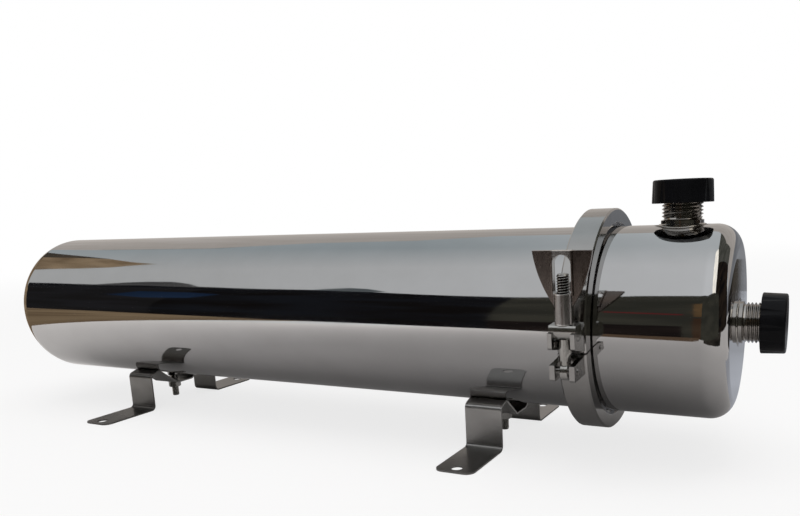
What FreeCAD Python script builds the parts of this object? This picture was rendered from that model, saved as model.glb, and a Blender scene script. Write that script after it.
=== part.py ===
import FreeCAD, Part
import math
import os

V = FreeCAD.Vector
X_AXIS = V(1, 0, 0)
Z_AXIS = V(0, 0, 1)

# Driving sizes in millimetres and degrees. The origin is the centre of the four foot holes on the
# mounting plane. X runs along the tube towards the head, Z is up, and the clamp's nut is on the -Y side.

# Tube, end plates and feet
tube_od = 101.6
tube_wall = 1.5
knuckle_r = 12.0
closed_overhang = 100.5
bracket_spacing = 280.0
clamp_offset = 63.0
head_length = 71.0
axis_height = 74.0

# Ferrules, gasket and clamp ring
flange_height = 6.9
flange_rim = 2.2
flange_slope = 20.0
gasket_thickness = 1.6
clamp_rim = 2.8
clamp_width = 14.8
clamp_edge = 0.8
clamp_mouth_gap = 2.2
groove_depth_gap = 0.5
lower_seat_gap = 0.05
upper_seat_gap = 0.3
clamp_tilt = 3.0
split_tilt = 5.0
split_gap = 0.9

# Swing bolt, its ears and the fork
bolt_od = 6.35
bolt_chamfer = 0.8
bolt_standoff = 8.7
bolt_tip_height = 35.5
bolt_flat = 3.8
bolt_flat_top = -5.5
bolt_round_bottom = -2.5
eye_r = 4.3
eye_pin_r = 2.0
eye_height = -11.7
arm_gap = 9.1
arm_thickness = 2.25
ear_gap = 7.25
ear_thickness = 2.65
arm_nose = 6.2
arm_underside = -0.2
arm_chamfer = 1.0
ear_top = -7.6
ear_bottom = -15.6
arm_root_depth = 1.1
arm_bury = 3.0
pin_proud = 0.4

# Saddle and wing nut
saddle_r = 4.7
saddle_height = 7.6
saddle_length = 13.4
saddle_bottom = 3.8
saddle_gap = 0.3
saddle_hole_gap = 0.25
horn_height = 4.2
nut_gap = 0.1
nut_thread_gap = 0.08
hub_r = 4.6
hub_height = 15.0
wing_top = 46.4
wing_half_span = 14.6
wing_waist = 9.3
wing_waist_height = 28.6
wing_thickness = 2.0
wing_bury = 1.0
wing_bar = 1.9
window_frame = 1.0
window_frame_thickness = 4.0
window_half_width = 4.5
window_sill = 0.4

# Rear hinge of the clamp
hinge_standoff = 5.8
knuckle_barrel_r = 4.6
hinge_pin_r = 2.5
hinge_head_r = 3.8
hinge_head = 1.5
hinge_fit = 0.06
pin_fit = 0.02
middle_knuckle = 5.0
knuckle_gap = 0.3
web_height = 12.0
web_bury = 2.0
web_foot = 1.0
clip_thickness = 0.8
clip_r = 4.2
clip_groove = 0.6
clip_mouth = 0.85
pin_tail = 1.0

# Threaded ports with their caps
port_offset = 41.7
port_thread_od = 20.955
port_bore = 15.2
port_height = 19.3
port_chamfer = 0.8
neck_r = 10.9
neck_height = 2.6
collar_r = 11.4
collar_height = 0.2
collar_chamfer = 0.4
thread_run_in = 0.6
weld_r = 12.4
weld_thickness = 0.25
cap_od = 31.2
cap_draft = 0.4
cap_height = 11.9
cap_top = 2.0
cap_rim_r = 1.0
cap_lip_r = 0.4
cap_fit = 0.08
cap_flutes = 12
cap_flute_depth = 0.45
cap_flute_r = 5.0
seal_thickness = 1.5
seal_gap = 0.35
face_gap = 0.1

# Drain at the closed end
drain_thread_od = 13.157
drain_socket_od = 18.0
drain_socket_length = 10.0
drain_ring_section = 2.6
drain_ring_od = 17.6
drain_neck_gap = 0.15
drain_flange_od = 18.4
drain_flange = 3.5
drain_hex = 17.0
drain_hex_length = 15.0
drain_hex_chamfer = 1.4
drain_plug_thread = 11.0
drain_fit = 0.08

# Bent strip brackets
strip_width = 23.0
strip_thickness = 1.0
foot_hole_spacing = 132.0
foot_hole_r = 3.3
foot_tip = 6.0
foot_corner_r = 5.0
leg_half_width = 30.8
contact_angle = 25.7
crest_r = 2.5
crest_slope = 17.0
trough_slope = 38.0
trough_drop = 6.7
leg_bend_r = 3.0
trough_bend_r = 1.75
strip_contact_gap = 0.02

# Stud bolts welded under the tube
stud_od = 5.0
stud_head_flats = 8.0
stud_head = 3.5
stud_sink = 0.6
stud_weld = 1.0
stud_tail = 7.1
stud_hole_gap = 0.3
washer_od = 9.0
washer_thickness = 1.0
washer_split = 0.8
nut_flats = 8.0
nut_height = 4.0
nut_chamfer = 0.5

# Membrane cartridge
collar_gap = 0.6
collar_length = 26.7
collar_wall = 3.7
collar_lip = 1.2
gasket_inner_gap = 0.3
gasket_outer_gap = 0.5
o_ring_section = 2.7
o_ring_depth = 2.1
o_ring_first = 8.0
o_ring_spacing = 9.5
o_ring_squeeze = 0.08
o_ring_side_gap = 0.3
potting_length = 14.0
bundle_length = 395.0
bundle_radii = [(0.0, 34.5), (0.14, 31.5), (0.34, 37.0), (0.62, 34.5), (0.86, 37.0),
                (0.97, 27.6), (1.0, 16.0)]

# How far a cutting shape runs past the piece it cuts
over = 1.0

# Sizes worked out from the ones above
tube_r = tube_od / 2
bore_r = tube_r - tube_wall
left_bracket_x = -bracket_spacing / 2
right_bracket_x = bracket_spacing / 2
closed_x = left_bracket_x - closed_overhang
clamp_x = right_bracket_x + clamp_offset
head_x = clamp_x + head_length
port_x = clamp_x + port_offset
flange_r = tube_r + flange_height
flange_tan = math.tan(math.radians(flange_slope))
flange_cos = math.cos(math.radians(flange_slope))
half_gasket = gasket_thickness / 2
clamp_r = flange_r + clamp_rim
bolt_reach = clamp_r + bolt_standoff
arm_front = bolt_reach + arm_nose
hinge_reach = clamp_r + hinge_standoff
collar_flange_r = tube_r + collar_lip
mouth_r = tube_r + clamp_mouth_gap
bolt_r = bolt_od / 2
port_r = port_thread_od / 2
arm_root_r = clamp_r - arm_root_depth
arm_half = arm_gap / 2 + arm_thickness
ear_half = ear_gap / 2 + ear_thickness
saddle_centre = saddle_bottom + saddle_r
saddle_top = saddle_bottom + saddle_height
hub_bottom = saddle_top + nut_gap
hub_top = hub_bottom + hub_height
foot_hole_reach = foot_hole_spacing / 2
foot_reach = foot_hole_reach + foot_tip
tube_underside = axis_height - tube_r
trough_height = tube_underside - trough_drop
washer_top = trough_height - strip_thickness
nut_top = washer_top - washer_thickness


def outline(points):
    """Closed face through the points, given as (x, y, z)."""
    loop = [V(*p) for p in points]
    loop.append(loop[0])
    return Part.Face(Part.makePolygon(loop))


def turned(profile):
    """Solid turned about X from a closed profile of (x, radius) points."""
    face = outline([(x, 0, r) for x, r in profile])
    return face.revolve(V(0, 0, 0), X_AXIS, 360)


def turned_about_z(profile):
    """Solid turned about Z from a closed profile of (radius, z) points."""
    face = outline([(r, 0, z) for r, z in profile])
    return face.revolve(V(0, 0, 0), Z_AXIS, 360)


def x_cylinder(radius, x0, x1, y=0.0, z=0.0):
    return Part.makeCylinder(radius, x1 - x0, V(x0, y, z), X_AXIS)


def z_cylinder(radius, z0, z1, x=0.0, y=0.0):
    return Part.makeCylinder(radius, z1 - z0, V(x, y, z0), Z_AXIS)


def hexagon(flats, height, base, axis):
    """Hexagonal prism of the given width across flats, built along Z and turned onto the axis."""
    corner = flats / math.sqrt(3)
    points = []
    for k in range(6):
        a = math.radians(60 * k + 30)
        points.append((corner * math.cos(a), corner * math.sin(a), 0))
    prism = outline(points).extrude(V(0, 0, height))
    prism.Placement = FreeCAD.Placement(base, FreeCAD.Rotation(Z_AXIS, axis))
    return prism


def on_tube(shape):
    """Moves a shape built about the X axis up to the tube's axis."""
    moved = shape.copy()
    moved.translate(V(0, 0, axis_height))
    return moved


def in_clamp(shape):
    """Moves a shape from the clamp's own frame to its tilted place on the tube."""
    moved = shape.copy()
    moved.rotate(V(0, 0, 0), X_AXIS, clamp_tilt)
    moved.translate(V(clamp_x, 0, axis_height))
    return moved


def fused(shapes):
    result = shapes[0].multiFuse(shapes[1:])
    return result.removeSplitter()


# Shells

def bend(cx, cr, radius, start, end):
    """Arc edge in the XZ plane about (cx, cr), from one angle to the other."""
    marks = []
    for a in (start, (start + end) / 2, end):
        t = math.radians(a)
        marks.append(V(cx + radius * math.cos(t), 0, cr + radius * math.sin(t)))
    return Part.Arc(*marks).toShape()


def line(a, b):
    return Part.makeLine(V(a[0], 0, a[1]), V(b[0], 0, b[1]))


def open_lines(points):
    return [line(a, b) for a, b in zip(points, points[1:])]


def flange_back(face, side):
    """Where a ferrule's sloping back meets its rim and its tube. side is -1 for the housing's."""
    rim = face + side * flange_rim
    foot = rim + side * (flange_r - tube_r) * flange_tan
    return rim, foot


def shell(end, side, hole_r):
    """Pressed end, tube and ferrule in one, turned about X. side is -1 for the closed end's shell."""
    face = clamp_x + side * half_gasket
    rim, foot = flange_back(face, side)
    turn = end - side * knuckle_r
    inner_turn = knuckle_r - tube_wall
    outward = 0 if side > 0 else 180
    edges = open_lines([(end, hole_r), (end, tube_r - knuckle_r)])
    edges.append(bend(turn, tube_r - knuckle_r, knuckle_r, outward, 90))
    edges += open_lines([(turn, tube_r), (foot, tube_r), (rim, flange_r), (face, flange_r),
                         (face, bore_r), (turn, bore_r)])
    edges.append(bend(turn, tube_r - knuckle_r, inner_turn, 90, outward))
    inside = end - side * tube_wall
    edges += open_lines([(inside, tube_r - knuckle_r), (inside, hole_r), (end, hole_r)])
    face_shape = Part.Face(Part.Wire(Part.__sortEdges__(edges)))
    return face_shape.revolve(V(0, 0, 0), X_AXIS, 360)


def nipple(inner):
    """Threaded nipple standing on the plane z = 0, with its collar and its bore, from z = inner up."""
    thread_start = neck_height + thread_run_in
    return turned_about_z([
        (port_bore / 2, inner), (collar_r, inner), (collar_r, collar_height),
        (neck_r, collar_height + collar_chamfer), (neck_r, neck_height), (port_r, thread_start),
        (port_r, port_height - port_chamfer), (port_r - port_chamfer, port_height),
        (port_bore / 2, port_height)])


def stud_bolt(x):
    """Bolt whose head is welded under the tube at x."""
    shoulder = tube_underside - stud_head
    head = hexagon(stud_head_flats, stud_head + stud_sink, V(x, 0, shoulder), Z_AXIS)
    stud_end = nut_top - nut_height - stud_tail
    shank = z_cylinder(stud_od / 2, stud_end, shoulder, x)
    corner = stud_head_flats / math.sqrt(3)
    weld = Part.makeCone(corner, corner + stud_weld, stud_weld + stud_sink,
                         V(x, 0, tube_underside - stud_weld), Z_AXIS)
    return head.multiFuse([shank, weld])


def drain_socket():
    bore = drain_thread_od / 2
    socket = x_cylinder(drain_socket_od / 2, closed_x - drain_socket_length, closed_x + tube_wall / 2)
    return socket.cut(x_cylinder(bore, closed_x - drain_socket_length - over, closed_x + tube_wall + over))


def housing_shell():
    body = shell(closed_x, -1, drain_thread_od / 2)
    body = on_tube(body.fuse(drain_socket()))
    body = fused([body, stud_bolt(left_bracket_x), stud_bolt(right_bracket_x)])
    inside = x_cylinder(bore_r, closed_x + knuckle_r, clamp_x, 0, axis_height)
    return body.cut(inside)


def top_nipple():
    """Outlet nipple on the crown of the head, with its weld, ending flush inside the tube."""
    tall = nipple(-tube_r / 2)
    tall.translate(V(port_x, 0, tube_r))
    weld = z_cylinder(weld_r, 0, tube_od, port_x)
    weld = weld.common(x_cylinder(tube_r + weld_thickness, port_x - weld_r, port_x + weld_r))
    weld = weld.cut(z_cylinder(port_bore / 2, 0, tube_od, port_x))
    post = tall.fuse(weld)
    return post.cut(x_cylinder(bore_r, port_x - 2 * weld_r, port_x + 2 * weld_r))


def end_nipple():
    """Inlet nipple in the middle of the head's end plate."""
    post = nipple(-tube_wall)
    post.rotate(V(0, 0, 0), V(0, 1, 0), 90)
    post.translate(V(head_x, 0, 0))
    return post


def head_shell():
    body = shell(head_x, 1, port_bore / 2)
    body = body.cut(z_cylinder(port_bore / 2, tube_r / 2, tube_od, port_x))
    return on_tube(fused([body, top_nipple(), end_nipple()]))


# Clamp ring

def groove_wall(radius, clearance):
    """Half width of the groove at a radius, with a clearance square to the flange's back."""
    slope = (flange_r - radius) * flange_tan
    return half_gasket + flange_rim + slope + clearance / flange_cos


def ring_part(start, sweep, clearance):
    """Part of the clamp ring from a start angle, measured from +Y towards +Z."""
    half = clamp_width / 2
    floor_r = flange_r + groove_depth_gap
    mouth = groove_wall(mouth_r, clearance)
    floor = groove_wall(floor_r, clearance)
    section = outline([
        (-half, mouth_r, 0), (-half, clamp_r - clamp_edge, 0), (-half + clamp_edge, clamp_r, 0),
        (half - clamp_edge, clamp_r, 0), (half, clamp_r - clamp_edge, 0), (half, mouth_r, 0),
        (mouth, mouth_r, 0), (floor, floor_r, 0), (-floor, floor_r, 0), (-mouth, mouth_r, 0)])
    section.rotate(V(0, 0, 0), X_AXIS, start)
    return section.revolve(V(0, 0, 0), X_AXIS, sweep)


def plate(points, x0, x1):
    """Flat plate with an outline of (y, z) points between two places along X."""
    return outline([(x0, y, z) for y, z in points]).extrude(V(x1 - x0, 0, 0))


def pair_of_plates(points, inner, outer):
    return [plate(points, inner, outer), plate(points, -outer, -inner)]


def split_height(y):
    """Height of the split plane in the clamp's frame at a place along Y."""
    return y * math.tan(math.radians(split_tilt))


def hinge_centre():
    a = math.radians(split_tilt)
    return hinge_reach * math.cos(a), hinge_reach * math.sin(a)


def hinge_web(sign):
    """Outline that carries a hinge knuckle on the ring. sign is 1 above the split and -1 below it."""
    a = math.radians(split_tilt)
    run = math.sqrt(arm_root_r ** 2 - web_height ** 2)
    local = [(hinge_reach, 0), (hinge_reach, sign * knuckle_barrel_r), (run, sign * web_height),
             (run - web_bury, sign * web_height), (arm_root_r - web_bury, sign * split_gap),
             (arm_root_r + web_foot, sign * split_gap)]
    return [(u * math.cos(a) - v * math.sin(a), u * math.sin(a) + v * math.cos(a)) for u, v in local]


def trimmed_to_ring(shapes):
    """Cuts away what would reach through the ring's wall into its groove."""
    core = x_cylinder(arm_root_r, -clamp_width, clamp_width)
    return [s.cut(core) for s in shapes]


def clamp_upper():
    gap = math.degrees(split_gap / 2 / clamp_r)
    ring = ring_part(split_tilt + gap, 180 - 2 * gap, upper_seat_gap)
    root = arm_root_r - arm_bury
    horn_top = saddle_bottom + horn_height
    arm = [(-root, split_height(-arm_root_r) + split_gap), (-arm_front + arm_chamfer, arm_underside),
           (-arm_front, arm_underside + arm_chamfer), (-arm_front, horn_top),
           (-bolt_reach, horn_top), (-bolt_reach + saddle_r + saddle_gap, horn_top),
           (-root, horn_top + arm_thickness)]
    arms = pair_of_plates(arm, arm_gap / 2, arm_half)
    y, z = hinge_centre()
    half = middle_knuckle / 2
    knuckle = x_cylinder(knuckle_barrel_r, -half, half, y, z)
    web = plate(hinge_web(1), -half, half)
    body = fused([ring, knuckle] + trimmed_to_ring(arms + [web]))
    seat = x_cylinder(saddle_r + saddle_gap, -clamp_width, clamp_width, -bolt_reach, saddle_centre)
    bore = x_cylinder(hinge_pin_r + hinge_fit, -half - over, half + over, y, z)
    return in_clamp(body.cut(seat).cut(bore))


def clamp_lower():
    gap = math.degrees(split_gap / 2 / clamp_r)
    ring = ring_part(180 + split_tilt + gap, 180 - 2 * gap, lower_seat_gap)
    root = arm_root_r - arm_bury
    ear = [(-root, split_height(-arm_root_r) - split_gap), (-arm_front, ear_top),
           (-arm_front, ear_bottom + arm_chamfer), (-arm_front + arm_chamfer, ear_bottom),
           (-root, ear_bottom)]
    ears = pair_of_plates(ear, ear_gap / 2, ear_half)
    y, z = hinge_centre()
    inner = middle_knuckle / 2 + knuckle_gap
    outer = clamp_width / 2
    knuckles = [x_cylinder(knuckle_barrel_r, inner, outer, y, z)]
    knuckles.append(x_cylinder(knuckle_barrel_r, -outer, -inner, y, z))
    webs = pair_of_plates(hinge_web(-1), inner, outer)
    body = fused([ring] + knuckles + trimmed_to_ring(ears + webs))
    pin_bore = x_cylinder(eye_pin_r + pin_fit, -clamp_width, clamp_width, -bolt_reach, eye_height)
    hinge_bore = x_cylinder(hinge_pin_r + pin_fit, -clamp_width, clamp_width, y, z)
    return in_clamp(body.cut(pin_bore).cut(hinge_bore))


def hinge_pin():
    y, z = hinge_centre()
    half = clamp_width / 2
    tail = half + clip_thickness + 2 * face_gap + pin_tail
    pin = x_cylinder(hinge_pin_r, -tail, half + hinge_head, y, z)
    head = x_cylinder(hinge_head_r, half + face_gap, half + face_gap + hinge_head, y, z)
    pin = pin.fuse(head)
    groove_end = half + face_gap + clip_thickness + pin_fit
    ring = x_cylinder(hinge_pin_r + over, -groove_end, -half - face_gap, y, z)
    ring = ring.cut(x_cylinder(hinge_pin_r - clip_groove, -clamp_width, clamp_width, y, z))
    return in_clamp(pin.cut(ring).removeSplitter())


def hinge_clip():
    """Open ring in the hinge pin's groove."""
    y, z = hinge_centre()
    half = clamp_width / 2
    x0 = -half - face_gap - clip_thickness
    x1 = -half - face_gap - pin_fit
    inner = hinge_pin_r - clip_groove + pin_fit
    clip = x_cylinder(clip_r, x0, x1, y, z).cut(x_cylinder(inner, x0 - over, x1 + over, y, z))
    mouth = Part.makeBox(x1 - x0 + 2 * over, clip_r + over, 2 * inner * clip_mouth,
                         V(x0 - over, y, z - inner * clip_mouth))
    return in_clamp(clip.cut(mouth))


def swing_bolt():
    """Eye bolt standing on its pin, with a flattened eye and a round threaded shank."""
    chamfer_bottom = bolt_tip_height - bolt_chamfer
    shank = z_cylinder(bolt_r, bolt_round_bottom, chamfer_bottom)
    tip = Part.makeCone(bolt_r, bolt_r - bolt_chamfer, bolt_chamfer, V(0, 0, chamfer_bottom), Z_AXIS)
    wedge = outline([(-bolt_flat / 2, 0, bolt_flat_top), (bolt_flat / 2, 0, bolt_flat_top),
                     (bolt_r, 0, bolt_round_bottom), (-bolt_r, 0, bolt_round_bottom)])
    wedge.translate(V(0, -bolt_r, 0))
    wedge = wedge.extrude(V(0, 2 * bolt_r, 0))
    shoulder = wedge.common(z_cylinder(bolt_r, bolt_flat_top, bolt_round_bottom))
    half = bolt_flat / 2
    neck = Part.makeBox(bolt_flat, 2 * bolt_r, bolt_flat_top - eye_height, V(-half, -bolt_r, eye_height))
    eye = x_cylinder(eye_r, -half, half, 0, eye_height)
    bolt = fused([shank, tip, shoulder, neck, eye])
    bolt = bolt.cut(x_cylinder(eye_pin_r + hinge_fit, -half - over, half + over, 0, eye_height))
    bolt.translate(V(0, -bolt_reach, 0))
    return in_clamp(bolt)


def swing_bolt_pin():
    reach = ear_half + pin_proud
    return in_clamp(x_cylinder(eye_pin_r, -reach, reach, -bolt_reach, eye_height))


def saddle():
    """Half-round bearer under the wing nut, which lies across the fork."""
    bar = x_cylinder(saddle_r, -saddle_length / 2, saddle_length / 2, 0, saddle_centre)
    keep = Part.makeBox(saddle_length + 2 * over, 4 * saddle_r, saddle_height,
                        V(-saddle_length / 2 - over, -2 * saddle_r, saddle_bottom))
    bar = bar.common(keep)
    bar = bar.cut(z_cylinder(bolt_r + saddle_hole_gap, saddle_bottom - over, saddle_top + over))
    bar.translate(V(0, -bolt_reach, 0))
    return in_clamp(bar)


def wing_curve(side):
    """Curved flank of a wing, from the hub up to the top corner."""
    low = V(side * (hub_r - wing_bury), 0, hub_bottom + hub_height / 2)
    waist = V(side * wing_waist, 0, wing_waist_height)
    top = V(side * wing_half_span, 0, wing_top)
    return Part.Arc(low, waist, top).toShape(), low, top


def wing_nut():
    right, low_r, top_r = wing_curve(1)
    left, low_l, top_l = wing_curve(-1)
    flank = Part.Wire([right, Part.makeLine(top_r, top_l), left, Part.makeLine(low_l, low_r)])
    blade = Part.Face(flank)
    blade.translate(V(0, -wing_thickness / 2, 0))
    blade = blade.extrude(V(0, wing_thickness, 0))
    sill = hub_top + window_sill
    arch = wing_top - wing_bar - window_half_width
    frame_half = window_half_width + window_frame
    frame = Part.makeBox(2 * frame_half, window_frame_thickness, wing_top - hub_top + window_frame,
                         V(-frame_half, -window_frame_thickness / 2, hub_top - window_frame))
    blade = blade.fuse(frame.common(z_cylinder(frame_half, 0, wing_top)))
    window = Part.makeBox(2 * window_half_width, 2 * window_frame_thickness, arch - sill,
                          V(-window_half_width, -window_frame_thickness, sill))
    crown = Part.makeCylinder(window_half_width, 2 * window_frame_thickness,
                              V(0, -window_frame_thickness, arch), V(0, 1, 0))
    blade = blade.cut(window.fuse(crown))
    hub = z_cylinder(hub_r, hub_bottom, hub_top)
    nut = fused([hub, blade])
    nut = nut.cut(z_cylinder(bolt_r + nut_thread_gap, hub_bottom - over, hub_top + over))
    nut.translate(V(0, -bolt_reach, 0))
    return in_clamp(nut)


# Port caps and seals, built over a nipple that stands on z = 0

def cap_body():
    """Fluted cap with rounded rims, turned from a profile and then fluted."""
    base = port_height + seal_thickness + 2 * face_gap + cap_top - cap_height
    top = base + cap_height
    open_r = cap_od / 2
    closed_r = open_r - cap_draft
    bore = port_r + cap_fit
    ceiling = top - cap_top
    edges = open_lines([(bore, base), (open_r - cap_lip_r, base)])
    edges.append(bend(open_r - cap_lip_r, base + cap_lip_r, cap_lip_r, -90, 0))
    edges += open_lines([(open_r, base + cap_lip_r), (closed_r, top - cap_rim_r)])
    edges.append(bend(closed_r - cap_rim_r, top - cap_rim_r, cap_rim_r, 0, 90))
    edges += open_lines([(closed_r - cap_rim_r, top), (0, top), (0, ceiling), (bore, ceiling),
                         (bore, base)])
    cap = Part.Face(Part.Wire(Part.__sortEdges__(edges))).revolve(V(0, 0, 0), Z_AXIS, 360)
    reach = open_r - cap_flute_depth + cap_flute_r
    cutters = []
    for k in range(cap_flutes):
        a = 2 * math.pi * k / cap_flutes
        x, y = reach * math.cos(a), reach * math.sin(a)
        cutters.append(z_cylinder(cap_flute_r, base - over, top + over, x, y))
    return cap.cut(Part.makeCompound(cutters))


def seal_body():
    low = port_height + face_gap
    return z_cylinder(port_r + cap_fit - seal_gap, low, low + seal_thickness)


def on_top_port(shape):
    shape.translate(V(port_x, 0, axis_height + tube_r))
    return shape


def on_end_port(shape):
    shape.rotate(V(0, 0, 0), V(0, 1, 0), 90)
    shape.translate(V(head_x, 0, axis_height))
    return shape


# Drain plug

def drain_plug():
    face = closed_x - drain_socket_length
    root = face - drain_ring_section
    neck = x_cylinder(drain_ring_od / 2 - drain_ring_section - drain_neck_gap, root, face)
    thread = x_cylinder(drain_thread_od / 2 - drain_fit, face, face + drain_plug_thread)
    collar = x_cylinder(drain_flange_od / 2, root - drain_flange, root)
    head_end = root - drain_flange - drain_hex_length
    head = hexagon(drain_hex, drain_hex_length, V(head_end, 0, 0), X_AXIS)
    corner = drain_hex / math.sqrt(3)
    slope = drain_hex_chamfer + over
    crown = Part.makeCone(corner - drain_hex_chamfer, corner + over, slope, V(head_end, 0, 0), X_AXIS)
    crown = crown.fuse(x_cylinder(corner + over, head_end + slope, root))
    head = head.common(crown)
    return on_tube(fused([neck, thread, collar, head]))


def drain_oring():
    face = closed_x - drain_socket_length
    section = drain_ring_section / 2 - face_gap / 2
    return on_tube(Part.makeTorus(drain_ring_od / 2 - section, section,
                                  V(face - drain_ring_section / 2, 0, 0), X_AXIS))


# Brackets

def crest_vertex():
    """Centre-line corner of the strip where its crest bears on the tube, on the -Y side."""
    reach = tube_r + crest_r + strip_contact_gap
    a = math.radians(contact_angle)
    centre_y = -reach * math.sin(a)
    centre_z = axis_height - reach * math.cos(a)
    half_turn = math.radians((crest_slope + trough_slope) / 2)
    lean = math.radians((trough_slope - crest_slope) / 2)
    d = (crest_r - strip_thickness / 2) / math.cos(half_turn)
    return centre_y + d * math.sin(lean), centre_z + d * math.cos(lean)


def strip_centre_line():
    """Corners of the strip's centre line with their bend radii, from the front toe to the rear toe."""
    t = strip_thickness
    crest_y, crest_z = crest_vertex()
    leg_y = -(leg_half_width - t / 2)
    top_z = crest_z - (crest_y - leg_y) * math.tan(math.radians(crest_slope))
    floor_z = trough_height - t / 2
    floor_y = crest_y + (crest_z - floor_z) / math.tan(math.radians(trough_slope))
    front = [(-foot_reach, t / 2, 0), (leg_y, t / 2, leg_bend_r), (leg_y, top_z, leg_bend_r),
             (crest_y, crest_z, crest_r - t / 2), (floor_y, floor_z, trough_bend_r)]
    rear = [(-y, z, r) for y, z, r in reversed(front)]
    return front + rear


def bent_strip(corners, thickness, x0, width):
    """Sheet of one thickness that follows a centre line with rounded bends."""
    upper, lower = [], []
    half = thickness / 2
    for i, (y, z, r) in enumerate(corners):
        here = V(0, y, z)
        before = (here - V(0, *corners[i - 1][:2])).normalize() if i else None
        after = (V(0, *corners[i + 1][:2]) - here).normalize() if i + 1 < len(corners) else None
        if before is None or after is None:
            d = after if before is None else before
            n = V(0, -d.z, d.y)
            upper.append([here + n * half])
            lower.append([here - n * half])
            continue
        n0 = V(0, -before.z, before.y)
        n1 = V(0, -after.z, after.y)
        turn = math.acos(max(-1, min(1, before.dot(after))))
        side = 1 if before.y * after.z - before.z * after.y > 0 else -1
        start = here - before * (r * math.tan(turn / 2))
        centre = start + n0 * (side * r)
        middle = (n0 + n1).normalize() * (-side)
        for rows, shift in ((upper, half), (lower, -half)):
            reach = r - side * shift
            rows.append([centre - n0 * (side * reach), centre + middle * reach,
                         centre - n1 * (side * reach)])
    edges = []
    for rows in (upper, lower):
        last = None
        for row in rows:
            if last is not None:
                edges.append(Part.makeLine(last, row[0]))
            if len(row) == 3:
                edges.append(Part.Arc(*row).toShape())
            last = row[-1]
    edges.append(Part.makeLine(upper[0][0], lower[0][0]))
    edges.append(Part.makeLine(upper[-1][-1], lower[-1][-1]))
    face = Part.Face(Part.Wire(Part.__sortEdges__(edges)))
    face.translate(V(x0, 0, 0))
    return face.extrude(V(width, 0, 0))


def rounded_plan(x, height):
    """Upright block with the strip's plan outline and rounded toe corners."""
    half = strip_width / 2
    block = Part.makeBox(strip_width, 2 * foot_reach, height, V(x - half, -foot_reach, -over))
    upright = [e for e in block.Edges if abs(e.tangentAt(e.FirstParameter).z) > 0.99]
    return block.makeFillet(foot_corner_r, upright)


def bracket(x):
    strip = bent_strip(strip_centre_line(), strip_thickness, x - strip_width / 2, strip_width)
    strip = strip.common(rounded_plan(x, axis_height))
    for y in (-foot_hole_reach, foot_hole_reach):
        strip = strip.cut(z_cylinder(foot_hole_r, -over, strip_thickness + over, x, y))
    return strip.cut(z_cylinder(stud_od / 2 + stud_hole_gap, 0, axis_height / 2, x))


def stud_washer(x):
    """Split spring washer under the strip."""
    ring = z_cylinder(washer_od / 2, washer_top - washer_thickness, washer_top, x)
    ring = ring.cut(z_cylinder(stud_od / 2 + stud_hole_gap, 0, axis_height / 2, x))
    split = Part.makeBox(washer_split, washer_od, axis_height / 2, V(x - washer_split / 2, 0, 0))
    return ring.cut(split)


def stud_nut(x):
    """Hexagon nut with its lower corners chamfered."""
    low = nut_top - nut_height
    corner = nut_flats / math.sqrt(3)
    nut = hexagon(nut_flats, nut_height, V(x, 0, low), Z_AXIS)
    crown = Part.makeCone(corner - nut_chamfer, corner + nut_height - nut_chamfer, nut_height,
                          V(x, 0, low), Z_AXIS)
    return nut.common(crown).cut(z_cylinder(stud_od / 2 + pin_fit, 0, axis_height / 2, x))


# Gasket and membrane cartridge

def ferrule_gasket():
    inner = collar_flange_r + gasket_inner_gap
    outer = flange_r - gasket_outer_gap
    low = clamp_x - half_gasket
    high = clamp_x + half_gasket
    return on_tube(turned([(low, inner), (high, inner), (high, outer), (low, outer)]))


def o_ring_places():
    first = clamp_x - half_gasket - o_ring_first
    return [first, first - o_ring_spacing]


def membrane_collar():
    outer = bore_r - collar_gap
    inner = outer - collar_wall
    low = clamp_x - half_gasket - collar_length
    profile = [(low, inner), (low, outer)]
    half = o_ring_section / 2 + o_ring_side_gap
    floor = outer - o_ring_depth
    for x in reversed(o_ring_places()):
        profile += [(x - half, outer), (x - half, floor), (x + half, floor), (x + half, outer)]
    profile += [(clamp_x - half_gasket, outer), (clamp_x - half_gasket, collar_flange_r),
                (clamp_x + half_gasket, collar_flange_r), (clamp_x + half_gasket, inner)]
    return on_tube(turned(profile))


def collar_oring(x):
    section = o_ring_section / 2 - o_ring_squeeze
    centre = bore_r - collar_gap - o_ring_depth + o_ring_section / 2
    return on_tube(Part.makeTorus(centre, section, V(x, 0, 0), X_AXIS))


def potting_disc():
    inner = bore_r - collar_gap - collar_wall - pin_fit
    return on_tube(x_cylinder(inner, clamp_x + half_gasket - potting_length, clamp_x + half_gasket))


def fibre_bundle():
    """Loose bundle of hollow fibres, narrow near the potting, wider behind it and looped at its tail."""
    start = clamp_x + half_gasket - potting_length
    tail = start - bundle_length
    marks = [V(start - share * bundle_length, 0, r) for share, r in bundle_radii]
    curve = Part.BSplineCurve()
    curve.interpolate(marks)
    corners = [marks[-1], V(tail, 0, 0), V(start, 0, 0), marks[0]]
    edges = [curve.toShape()] + [Part.makeLine(a, b) for a, b in zip(corners, corners[1:])]
    face = Part.Face(Part.Wire(edges))
    return on_tube(face.revolve(V(0, 0, 0), X_AXIS, 360))


def write(name, shape):
    shape.exportStep(os.path.join("parts", name + ".step"))
    print(name, "solids", len(shape.Solids), "valid", shape.isValid(), "volume", round(shape.Volume, 1))


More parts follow.
